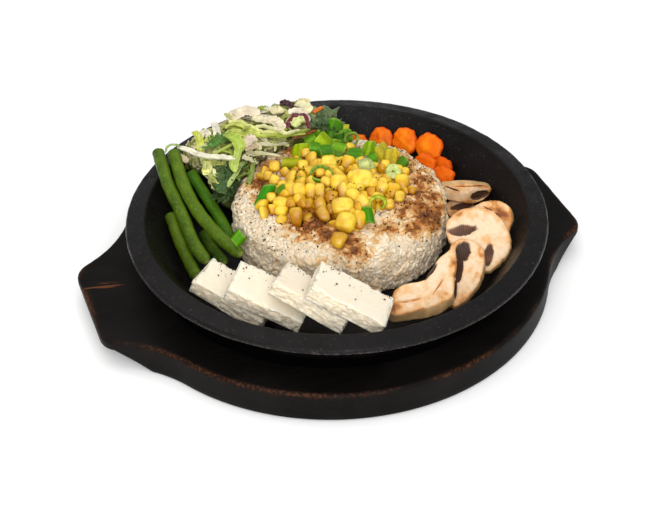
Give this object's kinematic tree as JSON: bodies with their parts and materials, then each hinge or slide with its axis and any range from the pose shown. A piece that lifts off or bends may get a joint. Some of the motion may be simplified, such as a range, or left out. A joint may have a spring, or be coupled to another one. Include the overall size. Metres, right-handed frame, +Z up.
{
  "type": "tofu pepper rice",
  "caption": "Pepper rice with sweetcorn, tofu, green beans, carrots, mushrooms and salad in a round iron pan on a dark wooden underliner board.",
  "frame": {"origin": "centre of the board's underside", "axes": "+X along the board from handle to handle, +Z up, -Y towards the side with the tofu"},
  "size_m": [0.316, 0.2744, 0.0654],
  "materials": {
    "board": "black stained wood, worn at its edges",
    "pan": "seasoned dark iron with a thin film of oil",
    "rice": "cooked white rice with pepper and brown sauce",
    "corn": "moist yellow kernels",
    "salad": "shredded cabbage and leaves",
    "tofu": "firm tofu, smooth on top and crumbly where it is cut",
    "bean": "cooked green beans",
    "carrot": "moist crinkle cut carrot",
    "mushroom": "cream flesh with dark gills and browned edges"
  },
  "bodies": {
    "root": {"board": "board", "pan": "pan", "rice": "rice", "corn": "corn", "salad": "salad", "tofu_1": "tofu", "tofu_2": "tofu", "tofu_3": "tofu", "tofu_4": "tofu", "bean_1": "bean", "bean_2": "bean", "bean_3": "bean", "bean_4": "bean", "bean_5": "bean", "carrot_1": "carrot", "carrot_2": "carrot", "carrot_3": "carrot", "carrot_4": "carrot", "carrot_5": "carrot", "carrot_6": "carrot", "carrot_7": "carrot", "mushroom_1": "mushroom", "mushroom_2": "mushroom", "mushroom_3": "mushroom", "mushroom_4": "mushroom", "mushroom_5": "mushroom", "mushroom_6": "mushroom"}
  },
  "joints": []
}
